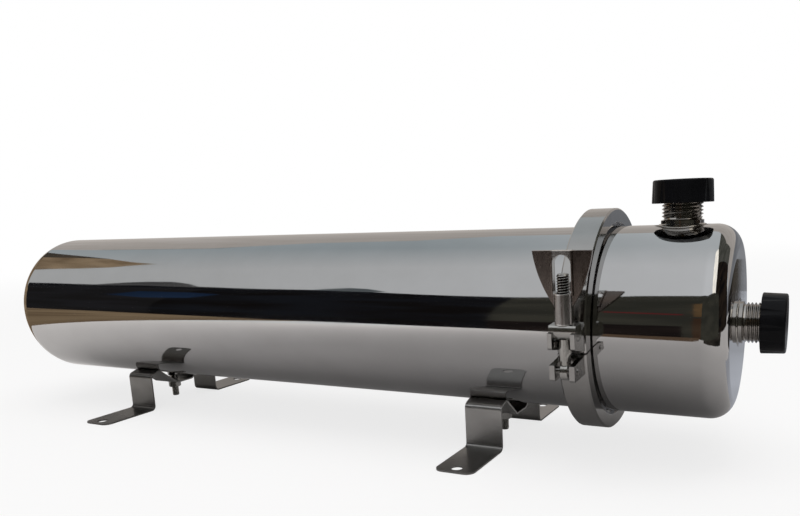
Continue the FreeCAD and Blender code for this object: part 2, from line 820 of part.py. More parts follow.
def main():
    os.makedirs("parts", exist_ok=True)
    write("housing_shell", housing_shell())
    write("head_shell", head_shell())
    write("clamp_upper", clamp_upper())
    write("clamp_lower", clamp_lower())
    write("hinge_pin", hinge_pin())
    write("hinge_clip", hinge_clip())
    write("swing_bolt", swing_bolt())
    write("swing_bolt_pin", swing_bolt_pin())
    write("nut_saddle", saddle())
    write("wing_nut", wing_nut())
    write("top_port_cap", on_top_port(cap_body()))
    write("top_cap_seal", on_top_port(seal_body()))
    write("end_port_cap", on_end_port(cap_body()))
    write("end_cap_seal", on_end_port(seal_body()))
    write("drain_plug", drain_plug())
    write("drain_oring", drain_oring())
    for side, x in (("left", left_bracket_x), ("right", right_bracket_x)):
        write("bracket_" + side, bracket(x))
        write("washer_" + side, stud_washer(x))
        write("nut_" + side, stud_nut(x))
    write("ferrule_gasket", ferrule_gasket())
    write("membrane_collar", membrane_collar())
    for place, x in zip(("front", "rear"), o_ring_places()):
        write("collar_oring_" + place, collar_oring(x))
    write("potting_disc", potting_disc())
    write("fibre_bundle", fibre_bundle())


main()
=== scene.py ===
import math
import random

import bmesh
import bpy
from mathutils import Matrix, Vector


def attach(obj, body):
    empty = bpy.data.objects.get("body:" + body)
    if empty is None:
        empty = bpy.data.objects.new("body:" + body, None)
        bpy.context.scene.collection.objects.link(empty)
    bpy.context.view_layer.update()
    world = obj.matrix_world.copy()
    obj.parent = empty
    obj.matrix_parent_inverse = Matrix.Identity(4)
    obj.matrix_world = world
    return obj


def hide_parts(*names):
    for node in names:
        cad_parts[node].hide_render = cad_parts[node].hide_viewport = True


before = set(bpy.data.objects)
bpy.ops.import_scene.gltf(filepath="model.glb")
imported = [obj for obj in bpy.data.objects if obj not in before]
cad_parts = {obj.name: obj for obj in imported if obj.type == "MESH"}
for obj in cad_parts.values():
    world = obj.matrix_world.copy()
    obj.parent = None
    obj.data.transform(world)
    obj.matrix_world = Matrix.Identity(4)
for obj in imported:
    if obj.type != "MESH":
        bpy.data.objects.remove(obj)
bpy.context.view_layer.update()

MM = 0.001
TAU = 2 * math.pi

# Sizes of the object in millimetres, as in the model's source
AXIS_Z = 74.0
TUBE_R = 50.8
WALL = 1.5
END_ROUNDING = 12.0
CLOSED_X = -240.5
CLAMP_X = 203.0
HEAD_X = 274.0
FLANGE_R = 57.7
FLANGE_RIM = 2.2
FLANGE_SLOPE = math.radians(20)
HALF_GASKET = 0.8
DRAIN_R = 9.0
DRAIN_BORE_R = 6.58
DRAIN_LENGTH = 10.0

BRACKET_X = (-140.0, 140.0)
STUD_HEAD_R = 4.62
STUD_HEAD_Z = 19.7
STUD_R = 2.49
STUD_ROOT_R = 2.08
STUD_PITCH = 0.8
STUD_TIP_Z = 3.4

PORT_X = 244.7
PORT_HEIGHT = 19.3
PORT_BORE_R = 7.6
PORT_THREAD_R = 10.4775
PORT_ROOT_R = 9.35
PORT_PITCH = 1.814
NECK_R = 10.9
COLLAR_R = 11.4

# Heights on the swing bolt and the wing nut are along the bolt, from the level of the clamp's axis
CLAMP_TILT = math.radians(3)
BOLT_REACH = 69.2
BOLT_R = 3.17
BOLT_ROOT_R = 2.6
BOLT_PITCH = 1.27
BOLT_THREAD_Z = 4.0
BOLT_TIP_Z = 35.5
EYE_Z = -11.7
EYE_R = 4.3
EYE_BORE_R = 2.06
EYE_HALF = 1.9
HUB_R = 4.65
HUB_BOTTOM = 11.5
HUB_TOP = 26.5

BUNDLE_X = CLAMP_X + HALF_GASKET - 14.0
BUNDLE_LENGTH = 392.0
BUNDLE_RADII = ((0.0, 34.5), (0.14, 31.5), (0.34, 37.0), (0.62, 34.5), (0.86, 37.0), (0.97, 27.6),
                (1.0, 16.0))
BUNDLE_MARGIN = 1.2
STRAND_COUNT = 430
STRAND_R = 0.62
LABEL_X = CLAMP_X - 23.5
LABEL_SEAT_R = 48.78
LABEL_THICKNESS = 0.12
LABEL_END_R = 1.9
LABEL_HALF_RUN = 5.5

# Frames of the object's parts, from their own millimetres to the row's metres
SCALE = Matrix.Scale(MM, 4)
TURN_X = Matrix.Rotation(math.radians(90), 4, "Y")
TUBE = SCALE @ Matrix.Translation((0, 0, AXIS_Z)) @ TURN_X
CLAMP = SCALE @ Matrix.Translation((CLAMP_X, 0, AXIS_Z)) @ Matrix.Rotation(CLAMP_TILT, 4, "X")
BOLT = CLAMP @ Matrix.Translation((0, -BOLT_REACH, 0))
TOP_PORT = SCALE @ Matrix.Translation((PORT_X, 0, AXIS_Z + TUBE_R))
END_PORT = SCALE @ Matrix.Translation((HEAD_X, 0, AXIS_Z)) @ TURN_X

# Photograph's camera, worked out from about thirty points measured on the object
CAMERA_PLACE = (313.4, -395.2, 137.8)
CAMERA_YAW = math.radians(26.29)
CAMERA_PITCH = math.radians(10.93)
CAMERA_ROLL = -0.0409
CAMERA_LENS = 32.77
CAMERA_SHIFT = (-0.0875, 0.113)

# Planes of the cards that the steel mirrors, in millimetres
FRONT_Y = -520
SLANT_FROM_X = -60
SLANT = 220 / 520
BACK_Y = 760
LEFT_X = -1200
RIGHT_X = 900

WHITE = (1, 1, 1)
BLACK = (0.0075, 0.007, 0.0075)
OLIVE = (0.055, 0.048, 0.040)
UMBER = (0.10, 0.082, 0.062)
BROWN = (0.20, 0.14, 0.085)
TAN = (0.42, 0.31, 0.20)
KERB = (0.12, 0.080, 0.052), (0.19, 0.130, 0.085)


# Mesh tools

def add_piece(name, mesh, slot, material, *stands_for):
    """Puts a mesh into the scene as a piece of the fixed body."""
    obj = bpy.data.objects.new(name, mesh)
    bpy.context.scene.collection.objects.link(obj)
    mesh.materials.append(material)
    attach(obj, "housing")
    if stands_for:
        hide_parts(*stands_for)


def finished_mesh(name, bm, matrix, sharp=35):
    """Mesh data from a bmesh, moved into the row frame and shaded smooth with its sharp edges kept."""
    bmesh.ops.transform(bm, matrix=matrix, verts=bm.verts)
    bmesh.ops.recalc_face_normals(bm, faces=bm.faces)
    mesh = bpy.data.meshes.new(name)
    bm.to_mesh(mesh)
    bm.free()
    mesh.shade_smooth()
    mesh.set_sharp_from_angle(angle=math.radians(sharp))
    return mesh


def polygon(radius, sides, turn=0.0):
    """Corners (x, y) of a regular polygon."""
    return [(radius * math.cos(TAU * k / sides + turn), radius * math.sin(TAU * k / sides + turn))
            for k in range(sides)]


def bridge(bm, low, high):
    """Faces between two rings of equally many corners."""
    for k in range(len(low)):
        n = (k + 1) % len(low)
        bm.faces.new((low[k], low[n], high[n], high[k]))


def loop_skin(bm, rings):
    """Faces along rings that lead round to the first again."""
    for low, high in zip(rings, rings[1:] + rings[:1]):
        bridge(bm, low, high)


def capped_skin(bm, rings):
    """Faces along rings, with both ends closed."""
    for low, high in zip(rings, rings[1:]):
        bridge(bm, low, high)
    bm.faces.new(rings[0])
    bm.faces.new(rings[-1])


def arc(cx, cr, radius, start, end, steps):
    """Points (along, radius) of an arc between two angles in degrees."""
    points = []
    for i in range(steps + 1):
        a = math.radians(start + (end - start) * i / steps)
        points.append((cx + radius * math.cos(a), cr + radius * math.sin(a)))
    return points


def held(points):
    """Adds a point close to each end of every long run, so that its shading stays straight."""
    margin = 0.4
    result = []
    for here, there in zip(points, points[1:] + points[:1]):
        result.append(here)
        length = math.dist(here, there)
        if length > 4 * margin:
            for share in (margin / length, 1 - margin / length):
                result.append((here[0] + (there[0] - here[0]) * share,
                               here[1] + (there[1] - here[1]) * share))
    return result


def lathe(name, profile, matrix, segments, sharp=35):
    """Turned solid from a closed profile of (along, radius) points, with the turning axis along Z."""
    bm = bmesh.new()
    rings = []
    for along, radius in held(profile):
        rings.append([bm.verts.new((x, y, along)) for x, y in polygon(radius, segments)])
    loop_skin(bm, rings)
    return finished_mesh(name, bm, matrix, sharp)


def thread(name, crest, root, pitch, low, high, matrix, bore, steps):
    """Screw thread with closed ends, from low to high along Z, hollow where the bore isn't zero."""
    # Corners of one turn's form, as shares of the pitch and of the thread's depth
    form = ((0.0, 0.0), (0.40, 1.0), (0.52, 1.0), (0.92, 0.0))
    # Length over which the thread rises from nothing at each end
    fade = 0.7 * pitch
    turns = math.ceil((high - low) / pitch) + 2
    bm = bmesh.new()
    grid = []
    for i in range(turns * steps + 1):
        a = TAU * i / steps
        row = []
        for share, height in form:
            z = low - pitch + pitch * (i / steps + share)
            z = min(max(z, low), high)
            height *= min(1.0, (z - low) / fade, (high - z) / fade)
            r = root + (crest - root) * max(height, 0.0)
            row.append(bm.verts.new((r * math.cos(a), r * math.sin(a), z)))
        grid.append(row)
    last = len(form) - 1
    for i in range(len(grid) - 1):
        for j in range(last):
            bm.faces.new((grid[i][j], grid[i + 1][j], grid[i + 1][j + 1], grid[i][j + 1]))
        if i + 1 + steps < len(grid):
            bm.faces.new((grid[i][last], grid[i + 1][last], grid[i + 1 + steps][0], grid[i + steps][0]))
    bmesh.ops.remove_doubles(bm, verts=bm.verts, dist=1e-4)
    bmesh.ops.dissolve_degenerate(bm, edges=bm.edges, dist=1e-5)
    loose = [v for v in bm.verts if not v.link_faces]
    bmesh.ops.delete(bm, geom=loose, context="VERTS")
    rims = []
    for z in (low, high):
        rim = {v for e in bm.edges if e.is_boundary for v in e.verts if abs(v.co.z - z) < 1e-3}
        rims.append(sorted(rim, key=lambda v: math.atan2(v.co.y, v.co.x)))
    close_rims(bm, rims, bore)
    return finished_mesh(name, bm, matrix, 28)


def close_rims(bm, rims, bore):
    """Closes two end rims, with plain faces or with a bore that joins them."""
    inner = []
    for rim in rims:
        if not bore:
            bm.faces.new(rim)
            continue
        ring = []
        for v in rim:
            a = math.atan2(v.co.y, v.co.x)
            ring.append(bm.verts.new((bore * math.cos(a), bore * math.sin(a), v.co.z)))
        inner.append(ring)
        bridge(bm, rim, ring)
    if bore:
        bridge(bm, *inner)


def prism(name, corners, low, high, matrix):
    """Upright solid with a closed outline of (x, y) corners and slightly rounded edges."""
    bm = bmesh.new()
    bottom = [bm.verts.new((x, y, low)) for x, y in corners]
    top = [bm.verts.new((x, y, high)) for x, y in corners]
    bm.faces.new(list(reversed(bottom)))
    bm.faces.new(top)
    bridge(bm, bottom, top)
    bm.normal_update()
    sharp = [e for e in bm.edges if e.calc_face_angle(0.0) > math.radians(25)]
    bmesh.ops.bevel(bm, geom=sharp, offset=0.2, segments=2, profile=0.6, affect="EDGES")
    return finished_mesh(name, bm, matrix)


def bead(name, path, size, matrix, seed, ripples):
    """Closed weld bead along a loop of (point, outward) pairs, with the ripples of a hand-made weld."""
    rng = random.Random(seed)
    wobble = [rng.uniform(-0.12, 0.12) for _ in range(12)]
    bm = bmesh.new()
    rings = []
    count = len(path)
    for i, (point, outward) in enumerate(path):
        share = i / count
        knot = share * len(wobble)
        here, there = wobble[int(knot)], wobble[(int(knot) + 1) % len(wobble)]
        lump = here + (there - here) * (knot % 1)
        r = size * (1 + lump + 0.10 * abs(math.sin(math.pi * ripples * share)))
        along = (path[(i + 1) % count][0] - path[i - 1][0]).normalized()
        side = outward.normalized()
        up = along.cross(side)
        rings.append([bm.verts.new(point + side * x + up * y) for x, y in polygon(r, 10)])
    loop_skin(bm, rings)
    return finished_mesh(name, bm, matrix, 60)


def flat_ring(radius, along):
    """Loop about the Z axis for a weld bead."""
    loop = []
    for x, y in polygon(1.0, 144):
        outward = Vector((x, y, 0))
        loop.append((outward * radius + Vector((0, 0, along)), outward))
    return loop


def saddle_ring(radius, rise):
    """Loop where an upright tube of the given radius meets the crown of the filter's tube."""
    loop = []
    for x, y in polygon(1.0, 168):
        outward = Vector((x, y, 0))
        z = math.sqrt((TUBE_R + rise) ** 2 - (radius * y) ** 2) - TUBE_R
        loop.append((outward * radius + Vector((0, 0, z)), outward))
    return loop


# Material tools. Places and distances in the nodes are in metres.

def new_material(name):
    """Material with its tree and its main shader."""
    material = bpy.data.materials.new(name)
    material.use_nodes = True
    tree = material.node_tree
    return material, tree, tree.nodes["Principled BSDF"]


def add_node(tree, kind, **settings):
    """New shader node of a kind, with its settings."""
    node = tree.nodes.new("ShaderNode" + kind)
    for setting, value in settings.items():
        setattr(node, setting, value)
    return node


def feed(node, into, value):
    """Gives an input a constant, or links it from another node's output."""
    if isinstance(value, bpy.types.NodeSocket):
        node.id_data.links.new(value, node.inputs[into])
    else:
        node.inputs[into].default_value = value


def maths(tree, operation, *values):
    """Result of one operation on constants and outputs."""
    node = add_node(tree, "Math", operation=operation)
    for i, value in enumerate(values):
        feed(node, i, value)
    return node.outputs["Value"]


def object_place(tree):
    """Place on the object, which for every piece is in the row's frame."""
    return add_node(tree, "TexCoord").outputs["Object"]


def axes(tree, place):
    """The X, Y and Z of a place."""
    node = add_node(tree, "SeparateXYZ")
    feed(node, 0, place)
    return node.outputs


def distance(tree, place, centre=(0, 0, 0)):
    """How far a place is from a centre."""
    node = add_node(tree, "VectorMath", operation="DISTANCE")
    feed(node, 0, place)
    feed(node, 1, centre)
    return node.outputs["Value"]


def stretched(tree, scale):
    """The object's place in millimetres, times a scale for each axis."""
    node = add_node(tree, "Mapping")
    feed(node, "Scale", [s / MM for s in scale])
    feed(node, "Vector", object_place(tree))
    return node.outputs["Vector"]


def noise(tree, scale, detail=4.0, roughness=0.55):
    """Noise whose features are 1 / scale millimetres long on each axis."""
    node = add_node(tree, "TexNoise")
    feed(node, "Scale", 1.0)
    feed(node, "Detail", detail)
    feed(node, "Roughness", roughness)
    feed(node, "Vector", stretched(tree, scale))
    return node.outputs["Fac"]


def spread(tree, value, low, high, from_low=0.3, from_high=0.7, **settings):
    """Value between from_low and from_high, moved to between low and high and held there."""
    node = add_node(tree, "MapRange", **settings)
    feed(node, "From Min", from_low)
    feed(node, "From Max", from_high)
    feed(node, "To Min", low)
    feed(node, "To Max", high)
    feed(node, "Value", value)
    return node.outputs["Result"]


def blend(tree, factor, first, second):
    """Mix of two colours, each given as a colour or as an output."""
    node = add_node(tree, "Mix", data_type="RGBA")
    feed(node, "Factor", factor)
    for into, colour in (("A", first), ("B", second)):
        feed(node, into, (*colour, 1) if isinstance(colour, tuple) else colour)
    return node.outputs["Result"]


def dimmed(tree, colour, factor):
    """Colour times a factor, held below white."""
    node = add_node(tree, "Mix", data_type="RGBA", blend_type="MULTIPLY", clamp_result=True)
    feed(node, "Factor", 1.0)
    feed(node, "A", colour)
    feed(node, "B", factor)
    return node.outputs["Result"]


def recoloured(tree, bsdf, factor, colour):
    """Mixes another colour over the base colour."""
    base = bsdf.inputs["Base Color"].links[0].from_socket
    feed(bsdf, "Base Color", blend(tree, factor, base, colour))


def bumped(tree, bsdf, height, strength, depth, rounding=0.0):
    """Bump of a depth in millimetres, over edges rounded in the shading alone."""
    bump = add_node(tree, "Bump")
    feed(bump, "Strength", strength)
    feed(bump, "Distance", depth * MM)
    feed(bump, "Height", height)
    if rounding:
        bevel = add_node(tree, "Bevel", samples=4)
        feed(bevel, "Radius", rounding * MM)
        feed(bump, "Normal", bevel.outputs["Normal"])
    feed(bsdf, "Normal", bump.outputs["Normal"])


def steel(name, light, dark, rough, grain, bump, depth, rounding=0.0):
    """Stainless steel with a grain, uneven polish and slight staining."""
    material, tree, bsdf = new_material(name)
    feed(bsdf, "Metallic", 1.0)
    fine = noise(tree, grain)
    broad = noise(tree, (0.035, 0.05, 0.05), 3.0)
    feed(bsdf, "Roughness", spread(tree, maths(tree, "MULTIPLY", fine, broad), *rough, 0.12, 0.42))
    feed(bsdf, "Base Color", blend(tree, spread(tree, broad, 0.0, 1.0), light, dark))
    bumped(tree, bsdf, fine, bump, depth, rounding)
    return material, tree, bsdf


def polished_steel(name, welds):
    """Mirror-polished tube steel, with heat marks round welds given by a centre and two radii."""
    material, tree, bsdf = steel(name, (0.475, 0.47, 0.468), (0.45, 0.444, 0.44), (0.03, 0.08),
                                 (0.012, 0.6, 0.6), 0.08, 0.004)
    waves = add_node(tree, "Bump")
    feed(waves, "Strength", 0.5)
    feed(waves, "Distance", 0.06 * MM)
    feed(waves, "Height", noise(tree, (0.012, 0.02, 0.02), 2.0))
    feed(bsdf.inputs["Normal"].links[0].from_node, "Normal", waves.outputs["Normal"])
    if not welds:
        return material
    ragged = noise(tree, (0.35, 0.35, 0.35), 5.0, 0.65)
    marks = 0.0
    for centre, inner, outer in welds:
        reach = distance(tree, object_place(tree), [c * MM for c in centre])
        wavy = maths(tree, "MULTIPLY_ADD", ragged, 3.2 * MM, reach)
        marks = maths(tree, "MAXIMUM", marks, spread(tree, wavy, 1.0, 0.0, inner * MM, outer * MM))
    recoloured(tree, bsdf, marks, (0.075, 0.06, 0.05))
    polish = bsdf.inputs["Roughness"].links[0].from_socket
    feed(bsdf, "Roughness", maths(tree, "MULTIPLY_ADD", marks, 0.35, polish))
    return material


def plastic(name, first, second, rough, grain, bump, rounding=0.0, scatter=0.0, shine=0.5):
    """Moulded plastic or rubber with a fine skin texture."""
    material, tree, bsdf = new_material(name)
    skin = noise(tree, grain, 6.0)
    broad = noise(tree, (0.06, 0.06, 0.06), 3.0)
    feed(bsdf, "Base Color", blend(tree, spread(tree, broad, 0.0, 1.0), first, second))
    feed(bsdf, "Roughness", spread(tree, skin, *rough))
    feed(bsdf, "Specular IOR Level", shine)
    feed(bsdf, "Subsurface Weight", scatter)
    feed(bsdf, "Subsurface Radius", (2 * MM, 1.6 * MM, 1.2 * MM))
    bumped(tree, bsdf, skin, bump, 0.02, rounding)
    return material


def about_bolt(tree):
    """Height along the swing bolt and distance from its axis."""
    local = add_node(tree, "Mapping", vector_type="TEXTURE")
    feed(local, "Location", BOLT.to_translation())
    feed(local, "Rotation", (CLAMP_TILT, 0, 0))
    feed(local, "Vector", object_place(tree))
    flat = add_node(tree, "VectorMath", operation="MULTIPLY")
    feed(flat, 0, local.outputs["Vector"])
    feed(flat, 1, (1, 1, 0))
    return axes(tree, local.outputs["Vector"])["Z"], distance(tree, flat.outputs["Vector"])


def wing_nut_material():
    """Cast steel, with the hub turned bright, painted highlights on its rims and the wings left darker."""
    material, tree, bsdf = steel("wing_nut_cast", (0.265, 0.228, 0.21), (0.20, 0.168, 0.152), (0.18, 0.30),
                                 (0.5, 0.5, 0.12), 0.4, 0.02, 0.3)
    height, reach = about_bolt(tree)
    hub = spread(tree, reach, 1.0, 0.0, HUB_R * MM, (HUB_R + 0.25) * MM)
    recoloured(tree, bsdf, hub, (0.30, 0.285, 0.275))
    # Painted highlights along the hub's top and bottom rims
    for inner, outer in ((HUB_TOP - 0.75, HUB_TOP - 0.5), (HUB_BOTTOM + 0.75, HUB_BOTTOM + 0.5)):
        rim = spread(tree, height, 0.0, 1.0, inner * MM, outer * MM)
        recoloured(tree, bsdf, maths(tree, "MULTIPLY", rim, hub), (0.62, 0.61, 0.60))
    return material


def swing_bolt_material():
    """Bright steel, darker in the roots of the thread."""
    material, tree, bsdf = steel("swing_bolt_steel", (0.50, 0.49, 0.47), (0.40, 0.39, 0.37), (0.14, 0.28),
                                 (0.6, 0.6, 0.6), 0.3, 0.01)
    height, reach = about_bolt(tree)
    root = spread(tree, reach, 1.0, 0.0, 2.72 * MM, 3.02 * MM)
    for ramp in ((0.0, 1.0, (BOLT_THREAD_Z + 0.4) * MM, (BOLT_THREAD_Z + 0.6) * MM),
                 (1.0, 0.0, (BOLT_TIP_Z - 0.3) * MM, (BOLT_TIP_Z - 0.1) * MM)):
        root = maths(tree, "MULTIPLY", root, spread(tree, height, *ramp))
    # Roots of the thread painted near black
    recoloured(tree, bsdf, root, (0.025, 0.02, 0.018))
    return material


def strip_material(name, light, dark, foot):
    """Satin strip steel, with painted shade on the feet."""
    material, tree, bsdf = steel(name, light, dark, (0.27, 0.38), (0.08, 2.2, 2.2), 0.3, 0.012, 0.15)
    height = axes(tree, object_place(tree))["Z"]
    # Painted shade: darker low down, on the feet near the floor
    recoloured(tree, bsdf, spread(tree, height, 1.0, 0.0, 2.0 * MM, 5.0 * MM), foot)
    return material


def potting_material():
    """Cast resin with the cut ends of the hollow fibres in it."""
    material, tree, bsdf = new_material("potting_resin")
    cells = add_node(tree, "TexVoronoi")
    feed(cells, "Scale", 1.0)
    feed(cells, "Randomness", 0.55)
    feed(cells, "Vector", stretched(tree, (0.0, 0.62, 0.62)))
    ends = spread(tree, cells.outputs["Distance"], 0.0, 1.0, 0.18, 0.30)
    feed(bsdf, "Base Color", blend(tree, ends, (0.35, 0.33, 0.28), (0.76, 0.73, 0.65)))
    feed(bsdf, "Roughness", spread(tree, noise(tree, (0.5, 0.5, 0.5)), 0.25, 0.4))
    bumped(tree, bsdf, ends, 0.5, 0.1)
    return material


def make_materials():
    """Every material, by a short name."""
    crown, face = (PORT_X, 0, AXIS_Z + TUBE_R), (HEAD_X, 0, AXIS_Z)
    found = {
        "tube": polished_steel("polished_tube", ()),
        "head": polished_steel("polished_head", ((crown, 14.9, 16.6), (face, 13.2, 14.6))),
        "wing": wing_nut_material(),
        "swing": swing_bolt_material(),
        # The two brackets are the same steel: the left copy is painted darker as painted shade, the right
        # copy lighter as painted light
        "shaded_strip_left": strip_material("satin_strip_left", (0.255, 0.25, 0.24), (0.21, 0.205, 0.195),
                                     (0.145, 0.14, 0.133)),
        "lit_strip_right": strip_material("satin_strip_right", (0.53, 0.52, 0.505), (0.44, 0.43, 0.42),
                                      (0.27, 0.262, 0.254)),
        "resin": potting_material(),
        "cap": plastic("black_cap", (0.003, 0.003, 0.0035), (0.005, 0.005, 0.006), (0.25, 0.36),
                       (2.5, 2.5, 2.5), 0.25, rounding=0.4, shine=0.09),
        "rubber": plastic("black_rubber", (0.014, 0.014, 0.014), (0.024, 0.023, 0.022), (0.45, 0.6),
                          (1.8, 1.8, 1.8), 0.3),
        "cream": plastic("cream_plastic", (0.80, 0.76, 0.60), (0.74, 0.69, 0.53), (0.32, 0.45),
                         (1.2, 1.2, 1.2), 0.2, rounding=0.3, scatter=0.15),
        "label": plastic("blank_label", (0.86, 0.86, 0.85), (0.80, 0.80, 0.79), (0.3, 0.4),
                         (1.5, 1.5, 1.5), 0.1),
        "fibre": plastic("hollow_fibre", (0.88, 0.87, 0.82), (0.80, 0.78, 0.71), (0.5, 0.65),
                         (0.4, 3.0, 3.0), 0.3, scatter=0.2),
    }
    for short, name, light, dark, rough, grain, *relief in (
            ("cast", "polished_cast", (0.42, 0.41, 0.40), (0.36, 0.35, 0.34), (0.07, 0.17),
             (0.3, 0.3, 0.3), 0.35, 0.02, 0.35),
            ("bolt", "turned_bright", (0.50, 0.49, 0.47), (0.40, 0.39, 0.37), (0.14, 0.28),
             (0.6, 0.6, 0.6), 0.3, 0.01, 0.12),
            ("pin", "turned_pin", (0.48, 0.47, 0.46), (0.38, 0.37, 0.36), (0.16, 0.30),
             (1.5, 0.4, 0.4), 0.3, 0.01, 0.15),
            # A darker copy of the turned steel for the nipples, as painted shade
            ("nipple", "turned_nipple_shaded", (0.46, 0.44, 0.42), (0.35, 0.33, 0.31), (0.10, 0.22),
             (0.5, 0.5, 0.5), 0.3, 0.01),
            ("weld", "weld_metal", (0.52, 0.50, 0.47), (0.34, 0.31, 0.28), (0.16, 0.34),
             (0.8, 0.8, 0.8), 0.6, 0.05)):
        found[short] = steel(name, light, dark, rough, grain, *relief)[0]
    return found


# Shells

def shell_profile(end, side, hole):
    """Closed outline of a pressed shell with its ferrule: side is -1 for the housing and 1 for the head."""
    face = CLAMP_X + side * HALF_GASKET
    rim = face + side * FLANGE_RIM
    foot = rim + side * (FLANGE_R - TUBE_R) * math.tan(FLANGE_SLOPE)
    turn = end - side * END_ROUNDING
    bore = TUBE_R - WALL
    first, last = (0, 90) if side > 0 else (180, 90)
    outside = arc(turn, TUBE_R - END_ROUNDING, END_ROUNDING, first, last, 30)
    fillet = [(foot + side * 1.2, TUBE_R), (foot + side * 0.4, TUBE_R + 0.2), (foot, TUBE_R + 0.9)]
    ferrule = [(rim, FLANGE_R - 0.3), (rim - side * 0.3, FLANGE_R), (face + side * 0.3, FLANGE_R),
               (face, FLANGE_R - 0.3), (face, bore + 0.3), (face + side * 0.3, bore)]
    inside = arc(turn, TUBE_R - END_ROUNDING, END_ROUNDING - WALL, last, first, 16)
    back = end - side * WALL
    return [(end, hole)] + outside + fillet + ferrule + inside + [(back, hole)]


def make_housing(mats):
    """Tube with its closed end, drain socket and the two studs under it."""
    tube = lathe("housing_tube", shell_profile(CLOSED_X, -1, DRAIN_BORE_R), TUBE, 288)
    add_piece("housing_tube", tube, "polished_steel", mats["tube"], "housing_shell")
    root, face = CLOSED_X + 1.0, CLOSED_X - DRAIN_LENGTH
    socket = lathe("drain_socket", [(root, DRAIN_BORE_R), (root, DRAIN_R), (face + 0.5, DRAIN_R),
                                    (face, DRAIN_R - 0.5), (face, DRAIN_BORE_R + 0.42),
                                    (face + 0.5, DRAIN_BORE_R)], TUBE, 96)
    add_piece("drain_socket", socket, "polished_steel", mats["bolt"], "housing_shell")
    weld = bead("drain_weld", flat_ring(DRAIN_R + 0.2, CLOSED_X - 0.1), 0.6, TUBE, 11, 46)
    add_piece("drain_weld", weld, "polished_steel", mats["weld"], "housing_shell")
    for side, x in zip(("left", "right"), BRACKET_X):
        make_stud(side, x, mats)


def make_stud(side, x, mats):
    """Bolt welded under the tube: head, weld and threaded shank."""
    here = SCALE @ Matrix.Translation((x, 0, 0))
    under = AXIS_Z - TUBE_R
    head = prism("stud_head_" + side, polygon(STUD_HEAD_R, 6, math.radians(30)), STUD_HEAD_Z, under + 0.4,
                 here)
    add_piece("stud_head_" + side, head, "polished_steel", mats["bolt"], "housing_shell")
    weld = lathe("stud_weld_" + side, [(under - 1.1, 3.0), (under - 1.1, 4.75), (under - 0.5, 5.1),
                                       (under - 0.1, 5.7), (under + 0.2, 5.9), (under + 0.2, 3.0)],
                 here, 64, 60)
    add_piece("stud_weld_" + side, weld, "polished_steel", mats["weld"], "housing_shell")
    shank = thread("stud_thread_" + side, STUD_R, STUD_ROOT_R, STUD_PITCH, STUD_TIP_Z, STUD_HEAD_Z + 0.3,
                   here, 0.0, 40)
    add_piece("stud_thread_" + side, shank, "polished_steel", mats["bolt"], "housing_shell")


def nipple_profile(bottom):
    """Outline of a nipple and the core of its thread, about its own axis."""
    core, top = PORT_ROOT_R - 0.05, PORT_HEIGHT - 0.4
    return [(bottom, PORT_BORE_R), (bottom, COLLAR_R), (0.2, COLLAR_R), (0.6, NECK_R), (2.3, NECK_R),
            (2.9, core), (top, core), (top, PORT_BORE_R)]


def make_head(mats):
    """Domed head with its two threaded nipples and their welds."""
    pot = lathe("head_pot", shell_profile(HEAD_X, 1, PORT_BORE_R), TUBE, 288)
    add_piece("head_pot", pot, "polished_steel", mats["head"], "head_shell")
    for side, where, bottom in (("top", TOP_PORT, -4.0), ("end", END_PORT, -1.2)):
        name = side + "_nipple"
        neck = lathe(name, nipple_profile(bottom), where, 128)
        add_piece(name, neck, "polished_steel", mats["nipple"], "head_shell")
        name += "_thread"
        screw = thread(name, PORT_THREAD_R, PORT_ROOT_R, PORT_PITCH, 2.6, PORT_HEIGHT, where,
                       PORT_BORE_R + 0.05, 96)
        add_piece(name, screw, "polished_steel", mats["nipple"], "head_shell")
    weld = bead("top_port_weld", saddle_ring(COLLAR_R + 0.1, -0.15), 0.62, TOP_PORT, 3, 58)
    add_piece("top_port_weld", weld, "polished_steel", mats["weld"], "head_shell")
    weld = bead("end_port_weld", flat_ring(COLLAR_R - 0.05, 0.0), 0.42, END_PORT, 5, 52)
    add_piece("end_port_weld", weld, "polished_steel", mats["weld"], "head_shell")


# Clamp bolt

def make_swing_bolt(mats):
    """Eye bolt of the clamp: threaded shank, shoulder with flats, and eye."""
    screw = thread("swing_bolt_thread", BOLT_R, BOLT_ROOT_R, BOLT_PITCH, BOLT_THREAD_Z, BOLT_TIP_Z,
                   BOLT, 0.0, 48)
    add_piece("swing_bolt_thread", screw, "bolt_steel", mats["swing"], "swing_bolt")
    bm = bmesh.new()
    rings = []
    for z, roundness in ((EYE_Z + 3.5, 0.0), (-5.5, 0.0), (-4.5, 0.2), (-3.5, 0.6), (-2.5, 1.0), (-2.3, 1.0),
                         (4.3, 1.0), (4.5, 0.9)):
        ring = []
        for x, y in polygon(BOLT_R, 48):
            flat = max(-EYE_HALF, min(EYE_HALF, x))
            ring.append(bm.verts.new((flat + (x - flat) * roundness, y, z)))
        rings.append(ring)
    capped_skin(bm, rings)
    shoulder = finished_mesh("swing_bolt_shoulder", bm, BOLT, 40)
    add_piece("swing_bolt_shoulder", shoulder, "bolt_steel", mats["bolt"], "swing_bolt")
    chamfer = 0.2
    outline = [(-EYE_HALF, EYE_BORE_R), (-EYE_HALF, EYE_R - chamfer), (chamfer - EYE_HALF, EYE_R),
               (EYE_HALF - chamfer, EYE_R), (EYE_HALF, EYE_R - chamfer), (EYE_HALF, EYE_BORE_R)]
    eye = lathe("swing_bolt_eye", outline, BOLT @ Matrix.Translation((0, 0, EYE_Z)) @ TURN_X, 64)
    add_piece("swing_bolt_eye", eye, "bolt_steel", mats["bolt"], "swing_bolt")


# Cartridge

def bundle_radius(t):
    """Radius of the fibre bundle at a share of its length, eased between its stations."""
    for (t0, r0), (t1, r1) in zip(BUNDLE_RADII, BUNDLE_RADII[1:]):
        if t <= t1:
            u = (t - t0) / (t1 - t0)
            u = u * u * (3 - 2 * u)
            return r0 + (r1 - r0) * u


